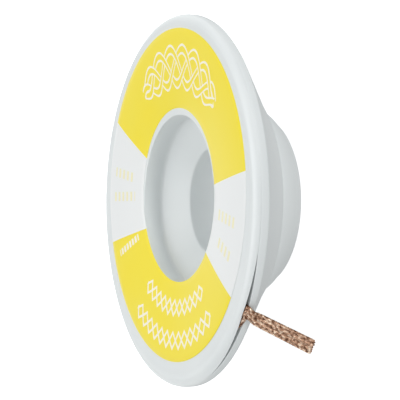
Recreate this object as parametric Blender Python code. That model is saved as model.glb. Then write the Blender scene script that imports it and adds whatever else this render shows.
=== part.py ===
"""Desoldering braid on its two-part plastic bobbin, resting on the end of its hub.

Metres, +Z up along the bobbin's axis. The origin is on the axis, level with the hub's flat end.
Depths are measured down from the printed face, so a depth of OVERALL_HEIGHT is the hub's end.
"""
import math

import bmesh
import bpy
from mathutils import Matrix, Vector
from mathutils.geometry import interpolate_bezier

# Overall sizes
OVERALL_HEIGHT = 0.0128
RIM_RADIUS = 0.0230
CLEARANCE = 0.0003
SEGMENTS = 72

# Printed ring, stuck on a little off centre, and the dished front plate that carries it
LABEL_THICKNESS = 0.0002
LABEL_HOLE_RADIUS = 0.0108
LABEL_SHIFT = 0.0007
LABEL_SHIFT_ANGLE = math.radians(75.5)
DISH_DROP = 0.0008
PLATE_THICKNESS = 0.00055
FRONT_RIM_INSET = 0.00035
FRONT_RIM_BAND = 0.00105
FRONT_RIM_SETBACK = 0.00005
FRONT_RIM_TOP_ROUND = 0.00035
FRONT_RIM_UNDER_ROUND = 0.00055

# Cup, sloping floor and tube that the front plate is moulded with
BORE_RADIUS = 0.0067
FLOOR_WIDTH = 0.00385
FLOOR_DROP = 0.0025
FLOOR_THICKNESS = 0.0011
CUP_DEPTH = 0.0021
CUP_DRAFT = 0.0002
CUP_FILLET = 0.0006
CUP_WALL = 0.00095
LIP_ROUND = 0.0002
TUBE_WALL = 0.0011
TUBE_END_SETBACK = 0.0003

# Dish and hub of the back half
CREASE_RADIUS = 0.0149
CREASE_DEPTH = 0.0078
HUB_END_RADIUS = 0.0104
HUB_END_CHAMFER = 0.0003
HUB_END_THICKNESS = 0.0012
BACK_RIM_ROUND = 0.0004
WALL = 0.0012

# Winding, and the free end of the braid
COIL_HEADROOM = 0.00045
COIL_WIDTH = 0.0030
BRAID_WIDTH = 0.0017
BRAID_THICKNESS = 0.00035
TAIL_ANGLE = math.radians(-45.0)
TAIL_START_ANGLE = math.radians(-36.0)
TAIL_FREE_LENGTH = 0.0072
TAIL_LEAN = math.radians(41.5)
BEND_LENGTH = 0.0012
CHANNEL_SLANT = math.radians(11.0)
SLIT_HALF_LENGTH = 0.0100
SLIT_MARGIN = 0.00008

# Places that follow from the sizes above
FRONT_RIM_RADIUS = RIM_RADIUS - FRONT_RIM_INSET
RECESS_RADIUS = FRONT_RIM_RADIUS - FRONT_RIM_BAND
LABEL_OUTER_RADIUS = RECESS_RADIUS - CLEARANCE - LABEL_SHIFT
CUP_FLOOR_RADIUS = BORE_RADIUS + FLOOR_WIDTH
MOUTH_RADIUS = CUP_FLOOR_RADIUS + CUP_DRAFT
CUP_OUTER_RADIUS = MOUTH_RADIUS + CUP_WALL
TUBE_RADIUS = BORE_RADIUS + TUBE_WALL
COLLAR_RADIUS = TUBE_RADIUS + CLEARANCE
MOUTH_DEPTH = LABEL_THICKNESS + CLEARANCE + DISH_DROP
CUP_FLOOR_DEPTH = MOUTH_DEPTH + CUP_DEPTH
TUBE_END_DEPTH = OVERALL_HEIGHT - TUBE_END_SETBACK
UNDERSIDE_DEPTH = LABEL_THICKNESS + CLEARANCE + PLATE_THICKNESS
LAND_DEPTH = UNDERSIDE_DEPTH + CLEARANCE
SEAM_DEPTH = (UNDERSIDE_DEPTH + LAND_DEPTH) / 2
COIL_FRONT_DEPTH = UNDERSIDE_DEPTH + DISH_DROP + COIL_HEADROOM
COIL_BACK_DEPTH = COIL_FRONT_DEPTH + COIL_WIDTH
COIL_INNER_RADIUS = CUP_OUTER_RADIUS + CLEARANCE
TAIL_START_DEPTH = COIL_FRONT_DEPTH + BRAID_WIDTH / 2

WHITE_PLASTIC = (0.78, 0.82, 0.83, 1.0)
YELLOW_PRINT = (0.86, 0.72, 0.10, 1.0)
COPPER = (0.50, 0.24, 0.13, 1.0)


def clear_scene():
    """Start from an empty scene."""
    for old in list(bpy.data.objects):
        bpy.data.objects.remove(old, do_unlink=True)


def make_material(name, colour, roughness, metallic):
    """A plain surface with one colour."""
    material = bpy.data.materials.new(name)
    material.use_nodes = True
    surface = material.node_tree.nodes["Principled BSDF"]
    surface.inputs["Base Color"].default_value = colour
    surface.inputs["Roughness"].default_value = roughness
    surface.inputs["Metallic"].default_value = metallic
    material.diffuse_color = colour
    return material


def add_object(name, bm, material=None):
    """Turn a bmesh into an object with outward normals and smooth round faces."""
    bmesh.ops.recalc_face_normals(bm, faces=bm.faces)
    mesh = bpy.data.meshes.new(name)
    bm.to_mesh(mesh)
    bm.free()
    if material:
        mesh.materials.append(material)
    mesh.shade_smooth()
    mesh.set_sharp_from_angle(angle=math.radians(35))
    item = bpy.data.objects.new(name, mesh)
    bpy.context.collection.objects.link(item)
    return item


def hide_helper(item):
    """Mark an object as a cutter or a guide, not a piece of the bobbin."""
    item.hide_render = True
    item.display_type = "WIRE"


def add_boolean(item, other, operation):
    """Cut or join one object with another."""
    modifier = item.modifiers.new(other.name, "BOOLEAN")
    modifier.operation = operation
    modifier.solver = "EXACT"
    modifier.object = other


def arc(centre, radius, start, end, steps):
    """Points of an arc in a profile, angles in degrees from the outward direction."""
    angles = [math.radians(start + (end - start) * step / steps) for step in range(steps + 1)]
    return [(centre[0] + radius * math.cos(a), centre[1] + radius * math.sin(a)) for a in angles]


def revolve(name, profile, material):
    """Turn a closed profile of radius and depth pairs about the axis."""
    bm = bmesh.new()
    ring = [bm.verts.new((radius, 0.0, OVERALL_HEIGHT - depth)) for radius, depth in profile]
    edges = [bm.edges.new((ring[i - 1], ring[i])) for i in range(len(ring))]
    bmesh.ops.spin(
        bm, geom=ring + edges, cent=(0, 0, 0), axis=(0, 0, 1), dvec=(0, 0, 0),
        angle=math.tau, steps=SEGMENTS, use_merge=True, use_duplicate=False,
    )
    return add_object(name, bm, material)


def dish_depth(radius):
    """How far the dished front plate has dropped at a radius, from the label's outer edge inward."""
    return DISH_DROP * (LABEL_OUTER_RADIUS - radius) / (LABEL_OUTER_RADIUS - MOUTH_RADIUS)


def dish_normal_angle():
    """Direction of the dish's outer wall: tangent to the rim's round, through the crease."""
    along = CREASE_RADIUS - (RIM_RADIUS - BACK_RIM_ROUND)
    down = CREASE_DEPTH - (LAND_DEPTH + BACK_RIM_ROUND)
    return math.atan2(down, along) - math.acos(BACK_RIM_ROUND / math.hypot(along, down))


def wall_radius(normal_angle, depth, inset):
    """Radius at a depth on the wall through the crease, moved inward by an inset."""
    out, down = math.cos(normal_angle), math.sin(normal_angle)
    return (CREASE_RADIUS * out + CREASE_DEPTH * down - inset - depth * down) / out


def dish_radius(depth, inset):
    """Radius of the dish's wall at a depth."""
    return wall_radius(dish_normal_angle(), depth, inset)


def hub_normal_angle():
    """Direction of the hub's outer wall, which runs from the crease to the hub's end."""
    return math.atan2(CREASE_RADIUS - HUB_END_RADIUS, OVERALL_HEIGHT - CREASE_DEPTH)


def hub_radius(depth, inset):
    """Radius of the hub's tapered wall at a depth."""
    return wall_radius(hub_normal_angle(), depth, inset)


def inner_crease():
    """Where the inner sides of the dish and the hub meet, one wall in from the crease."""
    dish, hub = dish_normal_angle(), hub_normal_angle()
    share = WALL / (1.0 + math.cos(dish - hub))
    return (
        CREASE_RADIUS - share * (math.cos(dish) + math.cos(hub)),
        CREASE_DEPTH - share * (math.sin(dish) + math.sin(hub)),
    )


def floor_depth(radius):
    """Depth of the cup's sloping floor at a radius."""
    return CUP_FLOOR_DEPTH + FLOOR_DROP * (CUP_FLOOR_RADIUS - radius) / FLOOR_WIDTH


def floor_underside(radius):
    """Depth of the floor's back, one thickness behind its front."""
    return floor_depth(radius) + FLOOR_THICKNESS * math.hypot(1.0, FLOOR_DROP / FLOOR_WIDTH)


def label_profile():
    """Ring of printed film that follows the dished plate."""
    inner, outer = LABEL_HOLE_RADIUS, LABEL_OUTER_RADIUS
    return [
        (inner, dish_depth(inner)),
        (outer, dish_depth(outer)),
        (outer, dish_depth(outer) + LABEL_THICKNESS),
        (inner, dish_depth(inner) + LABEL_THICKNESS),
    ]


def cup_fillet(steps=4):
    """Round between the cup's wall and its floor, listed from the floor up."""
    slope = math.atan2(FLOOR_DROP, FLOOR_WIDTH)
    half_turn = (math.pi / 2 - slope) / 2
    reach = CUP_FILLET * math.tan(half_turn)
    centre = (CUP_FLOOR_RADIUS - CUP_FILLET, CUP_FLOOR_DEPTH - reach)
    return arc(centre, CUP_FILLET, 90 - math.degrees(slope), 0, steps)


def front_profile():
    """Dished plate with a rounded rim, a cup with a sloping floor, and a tube to the hub's end."""
    top = (FRONT_RIM_RADIUS - FRONT_RIM_TOP_ROUND, FRONT_RIM_SETBACK + FRONT_RIM_TOP_ROUND)
    under = (FRONT_RIM_RADIUS - FRONT_RIM_UNDER_ROUND, UNDERSIDE_DEPTH - FRONT_RIM_UNDER_ROUND)
    return [
        (BORE_RADIUS, TUBE_END_DEPTH),
        (BORE_RADIUS, floor_depth(BORE_RADIUS) + LIP_ROUND),
        (BORE_RADIUS + LIP_ROUND, floor_depth(BORE_RADIUS + LIP_ROUND)),
        *cup_fillet(),
        (MOUTH_RADIUS, MOUTH_DEPTH),
        (RECESS_RADIUS, LABEL_THICKNESS + CLEARANCE + dish_depth(RECESS_RADIUS)),
        (RECESS_RADIUS, FRONT_RIM_SETBACK),
        *arc(top, FRONT_RIM_TOP_ROUND, -90, 0, 3),
        *arc(under, FRONT_RIM_UNDER_ROUND, 0, 90, 4),
        (RECESS_RADIUS, UNDERSIDE_DEPTH),
        (CUP_OUTER_RADIUS, UNDERSIDE_DEPTH + dish_depth(CUP_OUTER_RADIUS)),
        (CUP_OUTER_RADIUS, floor_underside(CUP_OUTER_RADIUS)),
        (TUBE_RADIUS, floor_underside(TUBE_RADIUS)),
        (TUBE_RADIUS, TUBE_END_DEPTH),
    ]


def back_profile():
    """Dish with a rounded rim, and a tapered hub whose end has a collar for the tube."""
    rim_centre = (RIM_RADIUS - BACK_RIM_ROUND, LAND_DEPTH + BACK_RIM_ROUND)
    wall_angle = math.degrees(dish_normal_angle())
    chamfer_depth = OVERALL_HEIGHT - HUB_END_CHAMFER
    end_depth = OVERALL_HEIGHT - HUB_END_THICKNESS
    return [
        (dish_radius(LAND_DEPTH, WALL), LAND_DEPTH),
        *arc(rim_centre, BACK_RIM_ROUND, -90, wall_angle, 5),
        (CREASE_RADIUS, CREASE_DEPTH),
        (hub_radius(chamfer_depth, 0.0), chamfer_depth),
        (HUB_END_RADIUS - HUB_END_CHAMFER, OVERALL_HEIGHT),
        (COLLAR_RADIUS, OVERALL_HEIGHT),
        (COLLAR_RADIUS, end_depth),
        (hub_radius(end_depth, WALL), end_depth),
        inner_crease(),
    ]


def coil_outer_radius():
    """The winding fills its chamber out to the dish."""
    return dish_radius(COIL_BACK_DEPTH, WALL + CLEARANCE)


def coil_profile():
    """Plain ring that the wound braid fills."""
    outer = coil_outer_radius()
    return [
        (COIL_INNER_RADIUS, COIL_FRONT_DEPTH),
        (outer, COIL_FRONT_DEPTH),
        (outer, COIL_BACK_DEPTH),
        (COIL_INNER_RADIUS, COIL_BACK_DEPTH),
    ]


def at(radius, angle, depth):
    """A point from its radius, its angle from the tail and its depth."""
    turned = TAIL_ANGLE + angle
    return Vector((radius * math.cos(turned), radius * math.sin(turned), OVERALL_HEIGHT - depth))


def slit_middle():
    """Where the braid's middle line passes between the two rims."""
    return at((FRONT_RIM_RADIUS + RIM_RADIUS) / 2, 0.0, SEAM_DEPTH)


def tail_path():
    """Middle line of the free end: off the winding, through the slit and back over the rim."""
    start_radius = coil_outer_radius() - BRAID_THICKNESS / 2
    start = at(start_radius, TAIL_START_ANGLE, TAIL_START_DEPTH)
    leave = TAIL_ANGLE + TAIL_START_ANGLE
    reach = (RIM_RADIUS - start_radius) * 0.75
    start_handle = start + reach * Vector((-math.sin(leave), math.cos(leave), 0.0))

    outward = Vector((math.cos(TAIL_ANGLE), math.sin(TAIL_ANGLE), 0.0))
    up = Vector((0.0, 0.0, 1.0))
    heading = math.cos(CHANNEL_SLANT) * outward + math.sin(CHANNEL_SLANT) * up
    leaning = math.cos(TAIL_LEAN) * outward - math.sin(TAIL_LEAN) * up
    slit = slit_middle()
    inside = interpolate_bezier(start, start_handle, slit - reach * heading, slit, 18)
    bend = slit + BEND_LENGTH * (heading + leaning) / 2
    handle = BEND_LENGTH / 3
    outside = interpolate_bezier(slit, slit + handle * heading, bend - handle * leaning, bend, 7)
    tip = bend + TAIL_FREE_LENGTH * leaning
    return inside + outside[1:] + [bend.lerp(tip, share / 4) for share in range(1, 5)], len(inside)


def build_tail():
    """Flat strip along the path, upright on the winding and flat by the time it meets the slit."""
    path, inside_count = tail_path()
    up = Vector((0.0, 0.0, 1.0))
    twist_points = inside_count * 0.5
    bm = bmesh.new()
    sections = []
    for index, point in enumerate(path):
        ahead = path[min(index + 1, len(path) - 1)] - path[max(index - 1, 0)]
        side = ahead.cross(up).normalized()
        rise = side.cross(ahead).normalized()
        turn = math.radians(90) * min(index / twist_points, 1.0)
        across = math.cos(turn) * rise + math.sin(turn) * side
        through = ahead.normalized().cross(across)
        half_width = across * BRAID_WIDTH / 2
        half_depth = through * BRAID_THICKNESS / 2
        corners = [half_width + half_depth, half_depth - half_width,
                   -half_width - half_depth, half_width - half_depth]
        sections.append([bm.verts.new(point + corner) for corner in corners])
    for first, second in zip(sections, sections[1:]):
        for i in range(4):
            bm.faces.new((first[i - 1], first[i], second[i], second[i - 1]))
    bm.faces.new(sections[0])
    bm.faces.new(sections[-1])
    return add_object("tail_guide", bm)


def build_slit_cutter(points=28):
    """Long, thin lens that parts the two rims where the braid comes out."""
    half_height = BRAID_THICKNESS / 2 + CLEARANCE + SLIT_MARGIN
    inner_reach = RIM_RADIUS - coil_outer_radius()
    outer_reach = BEND_LENGTH
    slit = slit_middle()
    frame = Matrix.Rotation(TAIL_ANGLE, 4, "Z") @ Matrix.Rotation(-CHANNEL_SLANT, 4, "Y")
    bm = bmesh.new()
    ends = []
    for reach in (-inner_reach, outer_reach):
        outline = []
        for point in range(points):
            angle = math.tau * point / points
            local = Vector((reach, SLIT_HALF_LENGTH * math.cos(angle), half_height * math.sin(angle)))
            outline.append(bm.verts.new(slit + frame.to_3x3() @ local))
        ends.append(outline)
    for i in range(points):
        bm.faces.new((ends[0][i - 1], ends[0][i], ends[1][i], ends[1][i - 1]))
    bm.faces.new(ends[0])
    bm.faces.new(ends[1])
    return add_object("slit_cutter", bm)


def build_bobbin():
    """All pieces of the bobbin."""
    plastic = make_material("white_moulded_plastic", WHITE_PLASTIC, 0.38, 0.0)
    film = make_material("printed_film", YELLOW_PRINT, 0.35, 0.0)
    copper = make_material("bare_copper_braid", COPPER, 0.35, 1.0)

    front = revolve("front_half", front_profile(), plastic)
    back = revolve("back_half", back_profile(), plastic)
    label = revolve("label_ring", label_profile(), film)
    label.location.x = LABEL_SHIFT * math.cos(LABEL_SHIFT_ANGLE)
    label.location.y = LABEL_SHIFT * math.sin(LABEL_SHIFT_ANGLE)
    braid = revolve("copper_braid", coil_profile(), copper)

    cutter = build_slit_cutter()
    hide_helper(cutter)
    add_boolean(front, cutter, "DIFFERENCE")
    add_boolean(back, cutter, "DIFFERENCE")

    tail = build_tail()
    hide_helper(tail)
    add_boolean(braid, tail, "UNION")


clear_scene()
build_bobbin()
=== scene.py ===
# %% [markdown]
# # Desoldering braid on its bobbin
#
# Desoldering braid is a flat tape woven from fine copper wire. It is sold on a small white bobbin
# that is moulded in two halves: a dished front plate with a paper-thin printed ring stuck on it, and a
# back half with a tapered hub. The braid is wound inside, and its end comes out between the two rims.
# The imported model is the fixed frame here. It says where each piece is and how large it is, and
# the pieces of this script are finer versions of the same ones, in the same places.

import math
import random

import bpy
from mathutils import Matrix, Vector
from mathutils.geometry import interpolate_bezier


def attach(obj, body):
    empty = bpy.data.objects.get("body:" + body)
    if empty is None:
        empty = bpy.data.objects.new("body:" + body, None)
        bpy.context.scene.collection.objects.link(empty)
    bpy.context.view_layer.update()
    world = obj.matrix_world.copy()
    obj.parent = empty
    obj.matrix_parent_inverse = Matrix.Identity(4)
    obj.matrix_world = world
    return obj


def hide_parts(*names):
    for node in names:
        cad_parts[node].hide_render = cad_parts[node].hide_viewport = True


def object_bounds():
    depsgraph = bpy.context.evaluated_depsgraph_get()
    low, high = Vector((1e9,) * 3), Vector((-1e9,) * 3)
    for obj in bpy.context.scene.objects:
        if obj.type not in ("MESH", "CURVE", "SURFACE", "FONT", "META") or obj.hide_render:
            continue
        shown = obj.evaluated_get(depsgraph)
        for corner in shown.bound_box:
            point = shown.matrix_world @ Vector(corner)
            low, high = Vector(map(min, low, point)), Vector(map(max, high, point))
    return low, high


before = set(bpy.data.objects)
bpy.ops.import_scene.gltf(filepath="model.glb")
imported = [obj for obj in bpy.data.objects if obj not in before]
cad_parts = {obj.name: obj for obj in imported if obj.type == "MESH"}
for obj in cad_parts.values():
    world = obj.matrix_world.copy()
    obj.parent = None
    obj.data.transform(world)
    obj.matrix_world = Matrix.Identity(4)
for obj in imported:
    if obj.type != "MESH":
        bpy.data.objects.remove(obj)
cad_low, cad_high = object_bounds()
scene = bpy.context.scene
MM = 0.001
HEIGHT = cad_high.z / MM
print("nodes:", sorted(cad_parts), "height in mm:", round(HEIGHT, 2))

# %% [markdown]
# ## The camera
#
# The photograph shows the bobbin on its rim, seen a quarter from the front. Here it lies on the
# end of its hub, so the camera is turned onto its side instead: the picture's up is a level direction.
# A camera can be aimed with a constraint, but three directions written into its matrix are easier
# to read back, and nothing has to be worked out again when the script is run.

# %% Place the camera
camera_place = Vector((0.144310, -0.031170, 0.077619))
camera_right = Vector((0.4151, -0.0821, -0.9061))
camera_up = Vector((0.2086, 0.9780, 0.0069)).normalized()
camera_back = camera_right.cross(camera_up).normalized()
camera_right = camera_up.cross(camera_back)

camera_data = bpy.data.cameras.new("camera")
camera_data.lens = 117.0
camera_data.sensor_width = 36.0
camera_data.clip_start = 0.01
camera = bpy.data.objects.new("camera", camera_data)
scene.collection.objects.link(camera)
axes = Matrix((camera_right, camera_up, camera_back)).transposed()
camera.matrix_world = Matrix.Translation(camera_place) @ axes.to_4x4()
scene.camera = camera
print("camera looks along", [round(v, 3) for v in -camera_back])

# %% [markdown]
# ## Helpers for drawing and turning
#
# Every moulded piece of the bobbin is round, as it comes from a turned steel mould. The way to model such
# a piece is to draw half of its section, point by point, and to spin that line about the axis.
# Depths are measured down from the printed face, as on a workshop drawing.

# %% Section helpers
SEGMENTS = 144
MERGE_DISTANCE = 0.0005 * MM


def at_depth(radius, depth):
    """A point of a section, in metres, from its radius and its depth below the face in mm."""
    return Vector((radius * MM, 0.0, (HEIGHT - depth) * MM))


def arc(centre, radius, start, end, steps):
    """Points of a round in a section. The angle is 0 outwards and 90 down, in degrees."""
    turns = [math.radians(start + (end - start) * step / steps) for step in range(steps + 1)]
    return [(centre[0] + radius * math.cos(t), centre[1] + radius * math.sin(t)) for t in turns]


def steps_from(point, steps):
    """Points of a section that lie a little way outwards and down from a point."""
    return [(point[0] + out, point[1] + down) for out, down in steps]


print("a turned piece has", SEGMENTS, "steps of", 360 / SEGMENTS, "degrees")


# %% Edit mode helpers
def begin(name):
    """Name the primitive that was just added, and open it in edit mode with all of it selected."""
    piece = bpy.context.object
    piece.name = name
    piece.data.name = name
    bpy.ops.object.mode_set(mode="EDIT")
    bpy.ops.mesh.select_all(action="SELECT")
    return piece


def close_up(piece, smooth_angle):
    """Merge doubles, turn the faces outwards, leave edit mode and smooth all but the sharp edges."""
    bpy.ops.mesh.select_all(action="SELECT")
    bpy.ops.mesh.remove_doubles(threshold=MERGE_DISTANCE)
    bpy.ops.mesh.normals_make_consistent(inside=False)
    bpy.ops.object.mode_set(mode="OBJECT")
    bpy.ops.object.transform_apply(location=True, rotation=True, scale=True)
    bpy.ops.object.shade_smooth_by_angle(angle=math.radians(smooth_angle))
    print(piece.name, "has", len(piece.data.polygons), "faces")


def turn_section(name, section, smooth_angle=32):
    """Draw a closed section by extruding a single point along it, then spin it into a body."""
    bpy.ops.object.select_all(action="DESELECT")
    bpy.ops.mesh.primitive_plane_add(size=MM)
    piece = begin(name)
    bpy.ops.mesh.merge(type="CENTER")
    bpy.ops.transform.translate(value=at_depth(*section[0]))
    for here, there in zip(section, section[1:] + section[:1]):
        step = at_depth(*there) - at_depth(*here)
        bpy.ops.mesh.extrude_vertices_move(TRANSFORM_OT_translate={"value": step})
    bpy.ops.mesh.select_all(action="SELECT")
    bpy.ops.mesh.remove_doubles(threshold=MERGE_DISTANCE)
    bpy.ops.mesh.spin(
        steps=SEGMENTS, angle=math.tau, center=(0, 0, 0), axis=(0, 0, 1), use_auto_merge=True
    )
    close_up(piece, smooth_angle)
    return piece


# %% [markdown]
# ## The dished face
#
# The front plate sinks a little towards its hole, so that the print is protected when bobbins are stacked.
# The face is level in the outer band and then curves down. The printed ring follows the same fall, so
# one function gives it to both.

# %% The fall of the face
PRINT_OUTER = 20.6
PRINT_INNER = 10.8
MOUTH = 10.65
FACE_DEPTH = 0.07
FACE_FALL = 0.9
FALL_CURVE = 1.6


def face_depth(radius):
    """Depth of the plate's face at a radius, in mm."""
    share = (PRINT_OUTER - radius) / (PRINT_OUTER - MOUTH)
    return FACE_DEPTH + FACE_FALL * max(0.0, share) ** FALL_CURVE


print("face depth at the rim and the mouth:", face_depth(PRINT_OUTER), round(face_depth(MOUTH), 2))

# %% [markdown]
# ## The front half
#
# One moulding makes the plate, the cup behind its hole, the sloping floor of the cup and the long tube of
# the bore. It could be built from a disc by insetting and extruding, but a drawn section gives
# every round its real radius: a broad soft rim, a small round at the mouth, and a fillet in the cup.
# The line runs up the bore, over the floor's lip, across the floor, up the cup's wall and over the face
# to the rim, and then back along the hidden side, a wall's thickness in.

# %% Sizes of the front half
RIM = 22.99
RIM_ROUND = 0.95
RIM_ROUND_DEPTH = 0.98
RIM_SEAT = 1.6
RIM_EDGE = 0.04
SEAM_DEPTH = 0.72
BORE = 6.7
LIP_ROUND = 0.35
LIP_ROUND_DROP = 0.13
CUP_WALL = 10.55
CUP_FLOOR_DEPTH = 3.4
CUP_FILLET = 0.6
CUP_FILLET_RISE = 0.33
FLOOR_LIP_DEPTH = 5.9
FLOOR_TURN = 57
FLOOR_WALL = 0.6
MOUTH_WALL = 10.64
MOUTH_ROUND = 0.1
MOUTH_ROUND_DROP = 0.09
TUBE_OUTER = 7.8
TUBE_END = 12.5
CUP_OUTER = 11.7
PLATE_BACK = 1.05
FACE_RADII = (11.4, 12.4, 13.6, 15.0, 16.6, 18.4, PRINT_OUTER)
BED_EDGE = PRINT_OUTER + 0.68
BED_ROUND = 0.22
BED_STEP = 0.03
print("the rim is", RIM, "mm from the axis, and the bore", BORE, "mm")

# %% Turn the front half
front_section = [
    (BORE, TUBE_END),
    (BORE, FLOOR_LIP_DEPTH + LIP_ROUND),
    *arc((BORE + LIP_ROUND, FLOOR_LIP_DEPTH + LIP_ROUND_DROP), LIP_ROUND, 180, 180 + FLOOR_TURN, steps=4),
    *arc((CUP_WALL - CUP_FILLET, CUP_FLOOR_DEPTH - CUP_FILLET_RISE), CUP_FILLET, FLOOR_TURN, 0, steps=7),
    *arc((MOUTH_WALL + MOUTH_ROUND, face_depth(MOUTH) + MOUTH_ROUND_DROP), MOUTH_ROUND, 180, 265, steps=4),
    *[(radius, face_depth(radius)) for radius in FACE_RADII],
    (BED_EDGE, FACE_DEPTH),
    (BED_EDGE + BED_ROUND, FACE_DEPTH + BED_STEP),
    *arc((RIM - RIM_ROUND, RIM_ROUND_DEPTH), RIM_ROUND, -103, -19, steps=10),
    (RIM - RIM_EDGE, SEAM_DEPTH),
    (RIM - RIM_SEAT, SEAM_DEPTH),
    (CUP_OUTER, PLATE_BACK + FACE_FALL),
    (CUP_OUTER, CUP_FLOOR_DEPTH + FLOOR_WALL),
    (TUBE_OUTER, FLOOR_LIP_DEPTH + FLOOR_WALL),
    (TUBE_OUTER, TUBE_END),
]
front_plate = turn_section("front_plate", front_section)

# %% [markdown]
# ## The back half
#
# The back half is a shallow cone, then a groove, then the steeper hub. Its rim carries on the round of the
# front one, so that the joint between the two hardly shows. The inside repeats the outside one wall
# thickness in, as in any moulding, and a collar at the hub's end holds the tube of the front half.
# Small forms, such as the groove and the hub's side, are given as steps outwards and down from a corner.

# %% Sizes of the back half
BACK_RIM = 23.0
SEAM_GAP = 0.02
BACK_SEAM = SEAM_DEPTH + SEAM_GAP
BACK_RIM_SIDE = ((-0.05, 0.0), (-0.02, 0.08), (0.0, 0.26), (0.0, 0.70))
BACK_RIM_ROUND = 0.35
BACK_RIM_ROUND_DEPTH = BACK_SEAM + 0.80
CREASE = (14.95, 7.75)
CONE_END = ((0.33, -0.25),)
CREASE_ROUND = 0.26
CREASE_ROUND_OUT = 0.05
CREASE_INSIDE = ((-1.95, -0.30),)
HUB_SHOULDER = (13.05, 9.10)
GROOVE = ((0.48, -0.75), (0.20, -0.52), (0.08, -0.26))
HUB_SIDE = ((0.0, 0.0), (-0.42, 0.80), (-0.95, 1.60), (-1.52, 2.40))
HUB_END = 10.4
HUB_SIDE_END = ((0.40, -0.52),)
HUB_END_ROUND = 0.50
HUB_END_ROUND_IN = 0.20
HUB_WALL = 0.4
HUB_END_WALL = 1.2
COLLAR = 8.1
COLLAR_EDGE = 0.15
print("the cone ends", CREASE[1], "mm below the face, and the hub", round(HEIGHT, 2), "mm below it")

# %% Turn the back half
back_section = [
    (BACK_RIM - RIM_SEAT, BACK_SEAM),
    *steps_from((BACK_RIM, BACK_SEAM), BACK_RIM_SIDE),
    *arc((BACK_RIM - BACK_RIM_ROUND, BACK_RIM_ROUND_DEPTH), BACK_RIM_ROUND, 0, 50, steps=5),
    *steps_from(CREASE, CONE_END),
    *arc((CREASE[0] + CREASE_ROUND_OUT, CREASE[1] - CREASE_ROUND), CREASE_ROUND, 52, 68, steps=3),
    *steps_from(HUB_SHOULDER, GROOVE + HUB_SIDE),
    *steps_from((HUB_END, HEIGHT), HUB_SIDE_END),
    *arc((HUB_END - HUB_END_ROUND_IN, HEIGHT - HUB_END_ROUND), HUB_END_ROUND, 30, 90, steps=4),
    (COLLAR + COLLAR_EDGE, HEIGHT),
    (COLLAR, HEIGHT - COLLAR_EDGE),
    (COLLAR, HEIGHT - HUB_END_WALL),
    (HUB_END - HUB_WALL, HEIGHT - HUB_END_WALL),
    *steps_from(CREASE, CREASE_INSIDE),
]
back_shell = turn_section("back_shell", back_section)

# %% [markdown]
# ## The slit that the braid comes out of
#
# The braid holds the two rims apart, so a long, thin gap opens to both sides of it. It closes again after
# 13 mm on one side and 8 mm on the other. The cutter is a flat plane in short lengths, extruded into a
# bar, bent round the rim and thinned to almost nothing at both ends. It is taken from both halves with the
# exact Boolean, because the gap follows curved rims that no bevel would follow. Its lengths are
# chosen so that none ends where a step of the turned pieces does, which would leave slivers.

# %% Shape the cutter
EXIT_ANGLE = math.radians(-45.0)
SLIT_LEFT = math.radians(-78.0)
SLIT_RIGHT = math.radians(-26.0)
SLIT_HALF_HEIGHT = 0.225
SLIT_END = 0.004
LEFT_TAPER = 1.25
RIGHT_TAPER = 1.0
SLIT_IN = 18.0
SLIT_OUT = 24.0
SLIT_LENGTHS = 30

bpy.ops.object.select_all(action="DESELECT")
bpy.ops.mesh.primitive_grid_add(x_subdivisions=1, y_subdivisions=SLIT_LENGTHS, size=1.0)
slit_bar = begin("slit_cutter")
bpy.ops.mesh.extrude_region_move(TRANSFORM_OT_translate={"value": (0.0, 0.0, 1.0)})
bpy.ops.mesh.select_all(action="SELECT")
bpy.ops.mesh.normals_make_consistent(inside=False)
bpy.ops.object.mode_set(mode="OBJECT")
for vertex in slit_bar.data.vertices:
    turn = SLIT_LEFT + (SLIT_RIGHT - SLIT_LEFT) * (vertex.co.y + 0.5)
    end, taper = (SLIT_LEFT, LEFT_TAPER) if turn < EXIT_ANGLE else (SLIT_RIGHT, RIGHT_TAPER)
    closeness = max(0.0, (turn - end) / (EXIT_ANGLE - end))
    half_height = SLIT_HALF_HEIGHT * closeness ** taper + SLIT_END
    out = SLIT_IN + (SLIT_OUT - SLIT_IN) * (vertex.co.x + 0.5)
    height = HEIGHT - SEAM_DEPTH + half_height * (2 * vertex.co.z - 1)
    vertex.co = Vector((out * math.cos(turn), out * math.sin(turn), height)) * MM
print("the cutter has", len(slit_bar.data.polygons), "faces")

# %% Cut both halves
for half in (front_plate, back_shell):
    cut = half.modifiers.new("slit", "BOOLEAN")
    cut.operation = "DIFFERENCE"
    cut.solver = "EXACT"
    cut.object = slit_bar
    bpy.context.view_layer.objects.active = half
    bpy.ops.object.modifier_apply(modifier=cut.name)
    print(half.name, "after the cut:", len(half.data.polygons), "faces")
bpy.data.objects.remove(slit_bar)

# %% [markdown]
# ## The printed ring
#
# The print is on a thin film ring that was stuck on by hand, a little too high, so a white crescent shows
# above the hole. It could be a painted area of the plate, but a ring of its own has the fine step at its
# edge that catches the light. It is a disc that is inset in rings until only its middle is left, which is
# deleted. The rings let it follow the fall of the face, and Solidify and Bevel make it a real film.

# %% Cut the ring and lay it on the face
FILM = 0.035
FILM_EDGE_ROUND = 0.010
GLUE = 0.004
RINGS = 12
PRINT_SHIFT = 0.7
PRINT_SHIFT_ANGLE = math.radians(75.5)
print_centre = Vector((math.cos(PRINT_SHIFT_ANGLE), math.sin(PRINT_SHIFT_ANGLE), 0.0)) * PRINT_SHIFT

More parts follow.
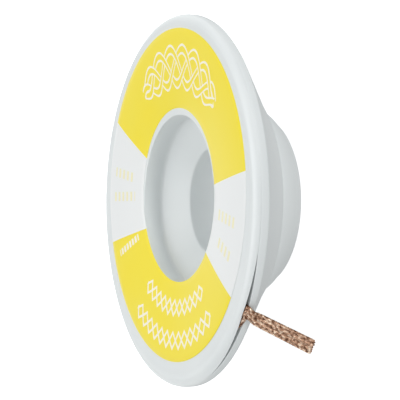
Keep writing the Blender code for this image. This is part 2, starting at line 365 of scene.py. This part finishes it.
bpy.ops.object.select_all(action="DESELECT")
bpy.ops.mesh.primitive_circle_add(vertices=SEGMENTS, radius=PRINT_OUTER * MM, fill_type="NGON")
printed_ring = begin("printed_ring")
for ring in range(RINGS):
    bpy.ops.mesh.inset(thickness=(PRINT_OUTER - PRINT_INNER) / RINGS * MM)
bpy.ops.mesh.delete(type="FACE")
bpy.ops.mesh.select_all(action="SELECT")
bpy.ops.transform.translate(value=print_centre * MM)
bpy.ops.object.mode_set(mode="OBJECT")
for vertex in printed_ring.data.vertices:
    radius = math.hypot(vertex.co.x, vertex.co.y) / MM
    vertex.co.z = (HEIGHT - face_depth(radius) + GLUE) * MM
film = printed_ring.modifiers.new("film", "SOLIDIFY")
film.thickness = FILM * MM
film.offset = 1.0
edge = printed_ring.modifiers.new("cut edge", "BEVEL")
edge.width = FILM_EDGE_ROUND * MM
edge.segments = 2
for name in ("film", "cut edge"):
    bpy.ops.object.modifier_apply(modifier=name)
bpy.ops.object.shade_smooth_by_angle(angle=math.radians(30))
print("printed ring top:", round(max(v.co.z for v in printed_ring.data.vertices) / MM, 3), "mm")

# %% [markdown]
# ## The winding
#
# The braid lies in about eleven layers on the outside of the cup. It is hidden but for what shows
# through the slit, so it is turned as one body, and its section has the soft steps of the layers on both
# ends and of the two turns side by side on the outside.

# %% Turn the winding
COIL_INNER = 12.0
COIL_OUTER = 15.85
COIL_TOP = 2.35
COIL_BOTTOM = 5.25
COIL_CORNER = 0.12
LAYERS = 11
LAYER_DIP = 0.07
TURNS_ABREAST = 2
TURN_DIP = 0.10
DIP_SHAPE = ((0.0, 1.0), (0.25, 0.15), (0.75, 0.15))


def scalloped(start, end, count, depth):
    """Points from start to end with a shallow dip at each joint between two turns."""
    run = Vector(end) - Vector(start)
    dip = Vector((-run.y, run.x)).normalized() * depth
    points = []
    for turn in range(count):
        for share, sunk in DIP_SHAPE:
            points.append(tuple(Vector(start) + run * ((turn + share) / count) + dip * sunk))
    return points


outside_top = (COIL_OUTER, COIL_TOP + COIL_CORNER)
outside_bottom = (COIL_OUTER, COIL_BOTTOM - COIL_CORNER)
coil_section = [
    *scalloped((COIL_INNER, COIL_TOP), (COIL_OUTER, COIL_TOP), LAYERS, LAYER_DIP),
    *scalloped(outside_top, outside_bottom, TURNS_ABREAST, TURN_DIP),
    *scalloped((COIL_OUTER, COIL_BOTTOM), (COIL_INNER, COIL_BOTTOM), LAYERS, LAYER_DIP),
    (COIL_INNER, COIL_BOTTOM),
]
winding = turn_section("winding", coil_section, smooth_angle=60)

# %% [markdown]
# ## The route of the free end
#
# The braid leaves the winding upright, twists flat on its way to the slit, comes through it aslant and
# folds back over the rim. Its last millimetres before the slit run close behind it, so copper shows there.
# Two smooth curves and a straight run give that line. Its tip is where the solid has it.

# %% Draw the route
BRAID_THICKNESS = 0.35
START_ANGLE = math.radians(-86.0)
START_DEPTH = 3.15
SLANT = math.radians(2.0)
ASLANT = math.radians(68.0)
LEAN = math.radians(41.5)
EXIT_RADIUS = 22.85
EXIT_RISE = 0.03
BEND = (24.0, 1.61)
TIP = (29.25, 6.26)
REACH = 5.0 * MM
GRIP = 0.60 * MM
INSIDE_STEPS = 40
OUTSIDE_STEPS = 12

outward = Vector((math.cos(EXIT_ANGLE), math.sin(EXIT_ANGLE), 0.0))
sideways = Vector((-math.sin(EXIT_ANGLE), math.cos(EXIT_ANGLE), 0.0))
upward = Vector((0.0, 0.0, 1.0))
start_way = Vector((math.cos(START_ANGLE), math.sin(START_ANGLE), 0.0))
start_radius = COIL_OUTER - BRAID_THICKNESS / 2
route_start = start_way * (start_radius * MM) + upward * ((HEIGHT - START_DEPTH) * MM)
exit_point = outward * (EXIT_RADIUS * MM) + upward * ((HEIGHT - SEAM_DEPTH + EXIT_RISE) * MM)
bend_point = outward * (BEND[0] * MM) + upward * ((HEIGHT - BEND[1]) * MM)
tip = outward * (TIP[0] * MM) + upward * ((HEIGHT - TIP[1]) * MM)
leaving = Vector((-math.sin(START_ANGLE), math.cos(START_ANGLE), 0.0))
arriving = math.cos(ASLANT) * outward + math.sin(ASLANT) * sideways
heading = math.cos(SLANT) * arriving + math.sin(SLANT) * upward
leaning = math.cos(LEAN) * outward - math.sin(LEAN) * upward
inside = interpolate_bezier(
    route_start, route_start + REACH * leaving, exit_point - REACH * heading, exit_point, INSIDE_STEPS
)
bent = interpolate_bezier(
    exit_point, exit_point + GRIP * heading, bend_point - GRIP * leaning, bend_point, OUTSIDE_STEPS
)
straight = [bend_point.lerp(tip, step / OUTSIDE_STEPS) for step in range(1, OUTSIDE_STEPS + 1)]
route = inside + bent[1:] + straight
lengths = [0.0]
for first, second in zip(route, route[1:]):
    lengths.append(lengths[-1] + (second - first).length / MM)
TWIST_END = lengths[len(inside) // 2]
print("route:", len(route), "points,", round(lengths[-1], 2), "mm long")


# %% Axes at each point of the route
def route_axes(index):
    """Directions across and through the tape at a point of the route."""
    ahead = route[min(index + 1, len(route) - 1)] - route[max(index - 1, 0)]
    ahead.normalize()
    side = ahead.cross(upward).normalized()
    rise = side.cross(ahead).normalized()
    turn = math.radians(90) * min(lengths[index] / TWIST_END, 1.0)
    across = math.cos(turn) * rise + math.sin(turn) * side
    return across, across.cross(ahead)


axes_along = [route_axes(index) for index in range(len(route))]


def on_route(distance, across, through):
    """A point of the tape, in metres, from its mm along, across and through the tape."""
    distance = max(0.0, min(distance, lengths[-1] + 1.0))
    index = 1
    while index < len(route) - 1 and lengths[index] < distance:
        index += 1
    share = (distance - lengths[index - 1]) / (lengths[index] - lengths[index - 1])
    middle = route[index - 1] + (route[index] - route[index - 1]) * share
    share = min(share, 1.0)
    width_axis = axes_along[index - 1][0].lerp(axes_along[index][0], share).normalized()
    depth_axis = axes_along[index - 1][1].lerp(axes_along[index][1], share).normalized()
    return middle + width_axis * (across * MM) + depth_axis * (through * MM)


print("the tape lies flat from", round(TWIST_END, 2), "mm along the route")

# %% [markdown]
# ## Weaving the free end
#
# Real braid of this width is a flattened tube of 24 strands, twelve in each direction, and each strand
# is three wires of 0.07 mm side by side. A strand goes over two others and then under two. A bump
# texture would lose the dark gaps and the ragged cut end, so each strand is a strip of its own: a
# plane is cut into short lengths, its points are carried onto the woven path, and Solidify gives it the
# wires' thickness. No operator weaves, so the points are placed by the rule of the weave.

# %% The rule of the weave
TUBE_WIDTH = 1.58
TUBE_DEPTH = 0.15
STRANDS = 12
STRAND_FILL = 0.96
BRAID_SLOPE = math.radians(37.0)
WIRE = 0.07
FLAT_RUN = TUBE_WIDTH - TUBE_DEPTH
ROUND = 2 * FLAT_RUN + math.pi * TUBE_DEPTH
LAY = ROUND / math.tan(BRAID_SLOPE)
STRAND_WIDTH = STRAND_FILL * ROUND * math.cos(BRAID_SLOPE) / STRANDS


def tube_section(share, lift):
    """Across and through distances of a point on the flattened tube, from its share of the way round."""
    way = (share % 1.0) * ROUND
    half_round = math.pi * TUBE_DEPTH / 2
    radius = TUBE_DEPTH / 2 + lift
    if way < FLAT_RUN:
        return way - FLAT_RUN / 2, radius
    way -= FLAT_RUN
    if way < half_round:
        turn = way / half_round * math.pi
        return FLAT_RUN / 2 + radius * math.sin(turn), radius * math.cos(turn)
    way -= half_round
    if way < FLAT_RUN:
        return FLAT_RUN / 2 - way, -radius
    turn = (way - FLAT_RUN) / half_round * math.pi
    return -FLAT_RUN / 2 - radius * math.sin(turn), -radius * math.cos(turn)


print("a strand is", round(STRAND_WIDTH, 3), "mm wide and goes round once in", round(LAY, 2), "mm")

# %% Weave the strands
SAMPLE = 0.075
ACROSS = 4
LIFT = 0.050
CROWN = 0.02
FLARE_LENGTH = 8.0
FLARE_WIDTH = 0.12
FLARE_DEPTH = 0.20
FLARE_CURVE = 6
SHORTEST_TRIM = -0.10
LONGEST_TRIM = 0.12
WANDER = 0.05
chance = random.Random(5)
tail_length = lengths[-1]
strand_pieces = []
for direction in (1, -1):
    for strand in range(STRANDS):
        trim = chance.uniform(SHORTEST_TRIM, LONGEST_TRIM)
        wander = chance.uniform(-WANDER, WANDER)
        bpy.ops.object.select_all(action="DESELECT")
        bpy.ops.mesh.primitive_grid_add(
            x_subdivisions=int(tail_length / SAMPLE), y_subdivisions=ACROSS, size=1.0
        )
        strip = bpy.context.object
        for vertex in strip.data.vertices:
            middle = (vertex.co.x + 0.5) * (tail_length + trim)
            side = vertex.co.y * STRAND_WIDTH
            distance = middle - direction * side * math.sin(BRAID_SLOPE)
            share = (strand + wander) / STRANDS + direction * middle / LAY
            share += side * math.cos(BRAID_SLOPE) / ROUND
            lift = direction * LIFT * math.cos(STRANDS * math.pi * share - math.pi / 4)
            crown = CROWN * (1.0 - (2 * vertex.co.y) ** 2)
            across, through = tube_section(share, lift + crown)
            flare = max(0.0, 1.0 - (tail_length - middle) / FLARE_LENGTH)
            across *= 1.0 + FLARE_WIDTH * flare
            through *= 1.0 + FLARE_DEPTH * flare ** FLARE_CURVE
            vertex.co = on_route(distance, across, through)
        thick = strip.modifiers.new("wire", "SOLIDIFY")
        thick.thickness = WIRE * MM
        thick.offset = 0.0
        bpy.ops.object.modifier_apply(modifier=thick.name)
        strand_pieces.append(strip)
print("strands:", len(strand_pieces), "of", len(strip.data.polygons), "faces each")

# %% Join the strands
bpy.ops.object.select_all(action="DESELECT")
for strip in strand_pieces:
    strip.select_set(True)
free_end = strand_pieces[0]
bpy.context.view_layer.objects.active = free_end
bpy.ops.object.join()
begin("braid_free_end")
bpy.ops.mesh.normals_make_consistent(inside=False)
bpy.ops.object.mode_set(mode="OBJECT")
bpy.ops.object.shade_smooth_by_angle(angle=math.radians(50))
print("free end:", len(free_end.data.polygons), "faces")

# %% [markdown]
# ## Colours and nodes
#
# Colours are written as they are read off a screen, and one function turns them into the linear values
# that the renderer needs. One small function adds a node, sets it up and links it, so that each
# material below reads as a short recipe. A Mix node keeps its colours behind its numbers and vectors,
# so the places of their sockets have names here.

# %% Colour and node helpers
MATH = "ShaderNodeMath"
VECTOR_MATH = "ShaderNodeVectorMath"
MIX = "ShaderNodeMix"
NOISE = "ShaderNodeTexNoise"
FIRST_COLOUR = 6
SECOND_COLOUR = 7
MIXED_COLOUR = 2


def colour(code):
    """Linear colour from an sRGB hex code."""
    parts = [int(code[i : i + 2], 16) / 255 for i in (0, 2, 4)]
    linear = [p / 12.92 if p <= 0.04045 else ((p + 0.055) / 1.055) ** 2.4 for p in parts]
    return (*linear, 1.0)


def add_node(tree, kind, inputs=(), **settings):
    """Add a node. Its inputs come in order, or by name: values, sockets, or nodes for their first output."""
    made = tree.nodes.new(kind)
    for name, value in settings.items():
        setattr(made, name, value)
    if not isinstance(inputs, dict):
        inputs = dict(enumerate(inputs))
    for key, value in inputs.items():
        if isinstance(value, bpy.types.Node):
            value = value.outputs[0]
        if isinstance(value, bpy.types.NodeSocket):
            tree.links.new(value, made.inputs[key])
        else:
            made.inputs[key].default_value = value
    return made


def new_material(name):
    """An empty material: itself, its tree and its shader."""
    material = bpy.data.materials.new(name)
    material.use_nodes = True
    return material, material.node_tree, material.node_tree.nodes["Principled BSDF"]


print("a mid grey of 808080 is", round(colour("808080")[0], 3), "in linear light")

# %% [markdown]
# ## White polystyrene, injection moulded
#
# The bobbin is white polystyrene with a hint of blue, as it comes out of a satin-finished mould. Such
# plastic has a soft, broad gloss. Two things keep it from looking like plain paint: a very faint cloudy
# change of tone from the flow of the melt, and a fine grain of about 0.15 mm that breaks up the highlights.

# %% Make the white plastic
FLOW_CLOUD = 9 * MM
MOULD_GRAIN = 0.15 * MM
white_plastic, tree, shader = new_material("white_polystyrene_moulded")
spot = add_node(tree, "ShaderNodeTexCoord").outputs["Object"]
cloud = add_node(tree, NOISE, {"Vector": spot, "Scale": 1 / FLOW_CLOUD, "Detail": 3.0})
tone = add_node(
    tree,
    MIX,
    {"Factor": cloud, FIRST_COLOUR: colour("DEE3E4"), SECOND_COLOUR: colour("E6EAEA")},
    data_type="RGBA",
)
tree.links.new(tone.outputs[MIXED_COLOUR], shader.inputs["Base Color"])
gloss = add_node(tree, "ShaderNodeMapRange", {"Value": cloud, "To Min": 0.36, "To Max": 0.46})
tree.links.new(gloss.outputs["Result"], shader.inputs["Roughness"])
grain = add_node(tree, NOISE, {"Vector": spot, "Scale": 1 / MOULD_GRAIN, "Detail": 2.0})
relief = add_node(tree, "ShaderNodeBump", {"Height": grain, "Strength": 0.08, "Distance": 0.02 * MM})
tree.links.new(relief.outputs["Normal"], shader.inputs["Normal"])
shader.inputs["IOR"].default_value = 1.59
print("white plastic:", len(tree.nodes), "nodes")

# %% [markdown]
# ## Printed film
#
# The ring is white film with two sectors printed in lemon yellow, and with marks in white and pale yellow.
# The marks here are a plain three-strand plait, rows of diamonds like the weave of the braid, and
# rows of ticks. All of it is drawn from the angle and the distance to the ring's centre, in mm, so it
# stays sharp at any size. The film is smooth and glossier than the plastic.

# %% Place on the film: mm from the ring's own centre, angle and radius
printed_film, tree, shader = new_material("printed_gloss_film")
spot = add_node(tree, "ShaderNodeTexCoord").outputs["Object"]
to_mm = (1 / MM, 1 / MM, 0)
place = add_node(tree, "ShaderNodeMapping", {"Vector": spot, "Location": -print_centre, "Scale": to_mm})
split = add_node(tree, "ShaderNodeSeparateXYZ", (place,))
angle = add_node(tree, MATH, (split.outputs["Y"], split.outputs["X"]), operation="ARCTAN2")
radius = add_node(tree, VECTOR_MATH, (place,), operation="LENGTH").outputs["Value"]
ring_way = add_node(tree, VECTOR_MATH, (place,), operation="NORMALIZE")
print("the ring's centre is", round(print_centre.length, 2), "mm off the bobbin's axis")

# %% [markdown]
# ### Masks
#
# A mask is 1 where an ink lies and 0 elsewhere. The sectors of this print are bounded by straight lines
# that pass beside the centre, so each limit is a direction in degrees and a distance along it in mm.
# Multiplying two masks keeps what both cover, and the larger of two keeps what either covers.


# %% Masks for sectors
def direction_to(degrees):
    """Unit vector from the ring's centre at an angle."""
    return (math.cos(math.radians(degrees)), math.sin(math.radians(degrees)), 0.0)


def reach_towards(degrees):
    """How far a place is from the centre in one direction, in mm."""
    reach = add_node(tree, VECTOR_MATH, (place, direction_to(degrees)), operation="DOT_PRODUCT")
    return reach.outputs["Value"]


def beyond(degrees, distance):
    """1 where a place is further than a distance in one direction, so the limit is a straight line."""
    return add_node(tree, MATH, (reach_towards(degrees), distance), operation="GREATER_THAN")


def sector(middle, half):
    """1 inside a sector, given by its middle and half its angle in degrees."""
    nearness = add_node(tree, VECTOR_MATH, (ring_way, direction_to(middle)), operation="DOT_PRODUCT")
    limit = math.cos(math.radians(half))
    return add_node(tree, MATH, (nearness.outputs["Value"], limit), operation="GREATER_THAN")


def joined(operation, masks):
    """Masks joined one after the other: MULTIPLY keeps what all cover, and MAXIMUM what any covers."""
    result = masks[0]
    for mask in masks[1:]:
        result = add_node(tree, MATH, (result, mask), operation=operation)
    return result


LEFT_LIMITS = ((-133.7, 0.98), (90.1, -2.18))
RIGHT_LIMITS = ((-93.8, 0.38), (49.2, -1.93))
white_left = joined("MULTIPLY", [beyond(*limit) for limit in LEFT_LIMITS])
white_right = joined("MULTIPLY", [beyond(*limit) for limit in RIGHT_LIMITS])
white_area = joined("MAXIMUM", [white_left, white_right])
print("the two white sectors are drawn with", len(tree.nodes), "nodes so far")

# %% [markdown]
# ### The plait
#
# Three strands swing in and out along an arc, a third of a wave apart. A second wave, twice as fast, says
# which strand is on top, and only the edges of the top one are drawn. Towards both ends the swing
# dies away, so the strands close up. A ready-made picture would be easier, but it would blur when enlarged.

# %% The plait at the top
PLAIT_MIDDLE = 71.0
PLAIT_HALF = 42.0
PLAIT_RADIUS = 15.9
PLAIT_SWING = 2.15
PLAIT_WAVES = 10.0
PLAIT_CLOSING = 5.0
PLAIT_STRANDS = 3
STRAND_HALF_WIDTH = 0.66
LINE_WIDTH = 0.30
TIE_BREAK = 0.0001
turned = add_node(tree, MATH, (angle, math.radians(PLAIT_MIDDLE)), operation="SUBTRACT")
waving = add_node(tree, MATH, (turned, PLAIT_WAVES), operation="MULTIPLY")
to_end = add_node(tree, MATH, (turned, math.radians(PLAIT_HALF)), operation="DIVIDE")
nearing_end = add_node(tree, MATH, (to_end,), operation="ABSOLUTE")
closing = add_node(tree, MATH, (nearing_end, PLAIT_CLOSING), operation="POWER")
swing_size = add_node(tree, MATH, (closing, -PLAIT_SWING, PLAIT_SWING), operation="MULTIPLY_ADD")
heights = []
edges = []
for strand in range(PLAIT_STRANDS):
    phase = add_node(tree, MATH, (waving, math.tau * strand / PLAIT_STRANDS), operation="ADD")
    wave = add_node(tree, MATH, (phase,), operation="SINE")
    strand_radius = add_node(tree, MATH, (wave, swing_size, PLAIT_RADIUS), operation="MULTIPLY_ADD")
    beside = add_node(tree, MATH, (radius, strand_radius), operation="SUBTRACT")
    off = add_node(tree, MATH, (beside,), operation="ABSOLUTE")
    cover = add_node(tree, MATH, (off, STRAND_HALF_WIDTH), operation="LESS_THAN")
    on_edge = add_node(tree, MATH, (off, STRAND_HALF_WIDTH - LINE_WIDTH), operation="GREATER_THAN")
    edges.append(joined("MULTIPLY", [on_edge, cover]))
    twice = add_node(tree, MATH, (phase, 2.0), operation="MULTIPLY")
    over_and_under = add_node(tree, MATH, (twice,), operation="SINE")
    height = add_node(tree, MATH, (over_and_under, 2.0), operation="ADD")
    heights.append(joined("MULTIPLY", [height, cover]))
highest = joined("MAXIMUM", heights)
shown = []
for height, strand_edge in zip(heights, edges):
    raised = add_node(tree, MATH, (height, TIE_BREAK), operation="ADD")
    on_top = add_node(tree, MATH, (raised, highest), operation="GREATER_THAN")
    shown.append(joined("MULTIPLY", [strand_edge, on_top]))
plait = joined("MULTIPLY", [joined("MAXIMUM", shown), sector(PLAIT_MIDDLE, PLAIT_HALF)])
print("with the plait there are", len(tree.nodes), "nodes")

# %% [markdown]
# ### Diamonds and ticks
#
# A row of diamonds is a zigzag and its mirror image about an arc. A row of ticks runs outwards and is
# cut up by the fraction of its pitch. Both take the place of printed lines of small marks, so they have
# the height and the spread of those lines.


# %% Rows of diamonds and rows of ticks
def diamonds(middle, half, row_radius, row_height, pitch, line):
    """A row of diamonds along an arc, drawn as lines."""
    way = add_node(tree, MATH, (angle, row_radius), operation="MULTIPLY")
    zigzag = add_node(tree, MATH, (way, pitch / 2), operation="PINGPONG")
    beside = add_node(tree, MATH, (radius, row_radius), operation="SUBTRACT")
    from_row = add_node(tree, MATH, (beside,), operation="ABSOLUTE")
    from_zigzag = add_node(tree, MATH, (zigzag, -row_height / pitch, from_row), operation="MULTIPLY_ADD")
    from_line = add_node(tree, MATH, (from_zigzag,), operation="ABSOLUTE")
    on_line = add_node(tree, MATH, (from_line, line / 2), operation="LESS_THAN")
    return joined("MULTIPLY", [on_line, sector(middle, half)])


def ticks(degrees, first, last, half_height, pitch, share):
    """A row of short ticks that runs outwards in one direction."""
    out = reach_towards(degrees)
    from_middle = add_node(tree, MATH, (out, (first + last) / 2), operation="SUBTRACT")
    to_ends = add_node(tree, MATH, (from_middle,), operation="ABSOLUTE")
    in_row = add_node(tree, MATH, (to_ends, (last - first) / 2), operation="LESS_THAN")
    off_line = add_node(tree, MATH, (reach_towards(degrees + 90),), operation="ABSOLUTE")
    in_height = add_node(tree, MATH, (off_line, half_height), operation="LESS_THAN")
    pitches = add_node(tree, MATH, (out, pitch), operation="DIVIDE")
    in_pitch = add_node(tree, MATH, (pitches,), operation="FRACT")
    inked = add_node(tree, MATH, (in_pitch, share), operation="LESS_THAN")
    return joined("MULTIPLY", [inked, in_height, in_row])


white_marks = joined(
    "MAXIMUM",
    [
        plait,
        diamonds(middle=258.5, half=36.4, row_radius=14.0, row_height=1.9, pitch=1.6, line=0.46),
        diamonds(middle=259.7, half=37.6, row_radius=18.0, row_height=2.0, pitch=1.8, line=0.46),
        ticks(193.0, first=13.0, last=18.6, half_height=0.45, pitch=0.8, share=0.62),
    ],
)
pale_rows = ((158.0, 13.2, 18.8), (168.5, 13.0, 19.0), (-22.5, 12.6, 18.4), (-35.5, 13.4, 18.2))
pale_marks = joined(
    "MAXIMUM",
    [ticks(*pale_row, half_height=0.62, pitch=1.15, share=0.45) for pale_row in pale_rows],
)
print("with all marks there are", len(tree.nodes), "nodes")

# %% [markdown]
# ### Inks and film
#
# The inks lie over each other as they are printed: yellow with a faint cloud, the white sectors, the white
# marks and the pale ones, which stand on white alone. Neither kind of mark covers fully, as thin ink doesn't.

# %% Inks, gloss and film
INK_CLOUD = 7 * MM
FILM_GRAIN = 0.4 * MM
WHITE_COVER = 0.9
PALE_COVER = 0.8
ink_cloud = add_node(tree, NOISE, {"Vector": spot, "Scale": 1 / INK_CLOUD, "Detail": 2.0})
thin_white = add_node(tree, MATH, (white_marks, WHITE_COVER), operation="MULTIPLY")
pale_on_white = joined("MULTIPLY", [pale_marks, white_area])
thin_pale = add_node(tree, MATH, (pale_on_white, PALE_COVER), operation="MULTIPLY")
print_colour = colour("F9E327")
for share, ink in (
    (ink_cloud, "F6E548"),
    (white_area, "EDEFEF"),
    (thin_white, "FAF6EE"),
    (thin_pale, "F3EBB4"),
):
    layer = {"Factor": share, FIRST_COLOUR: print_colour, SECOND_COLOUR: colour(ink)}
    print_colour = add_node(tree, MIX, layer, data_type="RGBA").outputs[MIXED_COLOUR]
tree.links.new(print_colour, shader.inputs["Base Color"])
fine = add_node(tree, NOISE, {"Vector": spot, "Scale": 1 / FILM_GRAIN, "Detail": 2.0})
relief = add_node(tree, "ShaderNodeBump", {"Height": fine, "Strength": 0.05, "Distance": 0.02 * MM})
tree.links.new(relief.outputs["Normal"], shader.inputs["Normal"])
shader.inputs["Roughness"].default_value = 0.34
shader.inputs["IOR"].default_value = 1.49
print("printed film:", len(tree.nodes), "nodes")

# %% [markdown]
# ## Bare copper wire, drawn and braided
#
# Drawn copper is bright, and it dulls unevenly to brown where flux and fingers have touched it. The random
# colour spots are partly that tarnish and partly painted light: the dark brown is painted shade standing in
# for the shaded gaps between the wires, and the pale cream is a painted highlight.
# A strand is three wires side by side, so each strip has three ridges along it, from its own UV map. The
# ridges could be rounder, but that would be finer than the picture can show.

# %% Make the copper
TARNISH_SHADE_HIGHLIGHT_SPOT = 0.35 * MM
WIRES_IN_STRAND = 3
copper, tree, shader = new_material("bare_copper_braided")
texture_place = add_node(tree, "ShaderNodeTexCoord")
spot = texture_place.outputs["Object"]
# Random spots: partly flux tarnish, partly painted shade of the gaps between wires and painted highlight
tarnish_shade_and_highlight = add_node(tree, NOISE, {"Vector": spot, "Scale": 1 / TARNISH_SHADE_HIGHLIGHT_SPOT, "Detail": 3.0})
tint = add_node(tree, "ShaderNodeValToRGB", {"Fac": tarnish_shade_and_highlight})
# Dark brown stop: tarnish and painted shade of the wire gaps; pale cream stop: painted highlight
tint.color_ramp.elements[0].position = 0.34
tint.color_ramp.elements[0].color = colour("6B4A38")
tint.color_ramp.elements[1].position = 0.68
tint.color_ramp.elements[1].color = colour("F4E0CA")
tint.color_ramp.elements.new(0.5).color = colour("C29A80")
tree.links.new(tint.outputs["Color"], shader.inputs["Base Color"])
shader.inputs["Metallic"].default_value = 1.0
worn = add_node(tree, "ShaderNodeMapRange", {"Value": tarnish_shade_and_highlight, "To Min": 0.42, "To Max": 0.24})
tree.links.new(worn.outputs["Result"], shader.inputs["Roughness"])
on_strip = add_node(tree, "ShaderNodeSeparateXYZ", (texture_place.outputs["UV"],))
half_wire = 1 / (2 * WIRES_IN_STRAND)
wires = add_node(tree, MATH, (on_strip.outputs["Y"], half_wire), operation="PINGPONG")
grooves = add_node(tree, "ShaderNodeBump", {"Height": wires, "Strength": 0.8, "Distance": 0.25 * MM})
tree.links.new(grooves.outputs["Normal"], shader.inputs["Normal"])
print("copper:", len(tree.nodes), "nodes")

# %% [markdown]
# ## Dressing the model
#
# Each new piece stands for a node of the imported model, which then isn't shown, and rides on its body.
# Nothing moves here, so there is one body, the root.

# %% Give the finishes and tie the pieces to the model
dressing = (
    (front_plate, white_plastic, "white_plastic", "front_half"),
    (back_shell, white_plastic, "white_plastic", "back_half"),
    (printed_ring, printed_film, "printed_film", "label_ring"),
    (winding, copper, "copper", "copper_braid"),
    (free_end, copper, "copper", "copper_braid"),
)
for piece, material, slot, node in dressing:
    piece.data.materials.clear()
    piece.data.materials.append(material)
    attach(piece, "root")
    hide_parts(node)
print("dressed:", [row[0].name for row in dressing])

# %% [markdown]
# ## Floor
#
# The photograph is a studio shot on white. The floor glows a little, as a lit white sweep does, so it
# stays white behind the object. It is kept out of the bounced light, because the surround already gives
# the underside of the bobbin all that it has in the photograph.

# %% Floor
FLOOR_SIZE = 6.0
FLOOR_DROP = 0.01 * MM
bpy.ops.object.select_all(action="DESELECT")
bpy.ops.mesh.primitive_plane_add(size=FLOOR_SIZE, location=(0.0, 0.0, -FLOOR_DROP))
floor = bpy.context.object
floor.name = "floor"
floor_finish, tree, shader = new_material("pale_studio_floor")
shader.inputs["Base Color"].default_value = colour("F4F5F6")
shader.inputs["Roughness"].default_value = 0.9
shader.inputs["Specular IOR Level"].default_value = 0.0
shader.inputs["Emission Color"].default_value = colour("FFFFFF")
shader.inputs["Emission Strength"].default_value = 0.62
floor.data.materials.append(floor_finish)
floor.visible_diffuse = False
floor.visible_glossy = False
print("floor:", FLOOR_SIZE, "m wide")

# %% [markdown]
# ## Surround
#
# The surround is a band of light: white at eye level, as the sweep behind the object is, and darker above
# and below. An even white would wash out the cone and the hub, which get their soft greys from the
# darker part. The direction's rise is turned into a share from 0, straight down, to 1, straight up.

# %% Surround
BAND = ((0.28, "A2A3A3"), (0.42, "FBFCFC"), (0.56, "FBFCFC"), (0.70, "8A8B8B"))
world = bpy.data.worlds.new("studio")
world.use_nodes = True
tree = world.node_tree
way_out = add_node(tree, "ShaderNodeTexCoord").outputs["Generated"]
rise = add_node(tree, "ShaderNodeSeparateXYZ", (way_out,)).outputs["Z"]
level = add_node(tree, MATH, (rise, 0.5, 0.5), operation="MULTIPLY_ADD")
band = add_node(tree, "ShaderNodeValToRGB", (level,))
stops = band.color_ramp.elements
stops[0].position, stops[1].position = BAND[0][0], BAND[-1][0]
for share, code in BAND[1:-1]:
    stops.new(share)
for stop, (share, code) in zip(stops, BAND):
    stop.color = colour(code)
backdrop = tree.nodes["Background"]
tree.links.new(band.outputs["Color"], backdrop.inputs["Color"])
backdrop.inputs["Strength"].default_value = 1.27
scene.world = world
print("surround:", [round(stop.position, 2) for stop in stops])

# %% [markdown]
# ## Lamps
#
# A large soft box above the printed face gives the even light of the photograph. A low, wide one in front
# lights the side of the rims and not the cup, which is the darkest part of the plastic. In the photograph
# the bobbin stands up, and light also comes in at the open end of its hub. Here that end lies on the
# floor, so a small round lamp inside it gives the bore the same light. The camera never sees that lamp.


# %% Lamps
def soft_lamp(name, place, aim, width, height, power):
    """A soft box that points at a place."""
    data = bpy.data.lights.new(name, "AREA")
    data.shape = "RECTANGLE"
    data.size = width
    data.size_y = height
    data.energy = power
    lamp = bpy.data.objects.new(name, data)
    scene.collection.objects.link(lamp)
    lamp.location = place
    lamp.rotation_euler = (Vector(aim) - Vector(place)).to_track_quat("-Z", "Y").to_euler()
    return lamp


LAMP_CLEARANCE = 0.3
LAMP_RISE = 0.1
inside_bore = 2 * (BORE - LAMP_CLEARANCE) * MM
soft_lamp("soft_box_above", place=(-0.06, 0.03, 0.54), aim=(0, 0, 0), width=0.55, height=0.55, power=2.2)
soft_lamp("low_box_in_front", place=(0.43, 0.20, 0.045), aim=(0, 0, 0.01), width=0.4, height=0.03, power=0.56)
bore_lamp = soft_lamp(
    "light_through_the_bore",
    place=(0, 0, LAMP_RISE * MM),
    aim=(0, 0, 1),
    width=inside_bore,
    height=inside_bore,
    power=0.00019,
)
bore_lamp.data.shape = "DISK"
bore_lamp.visible_camera = False
scene.view_settings.view_transform = "Standard"
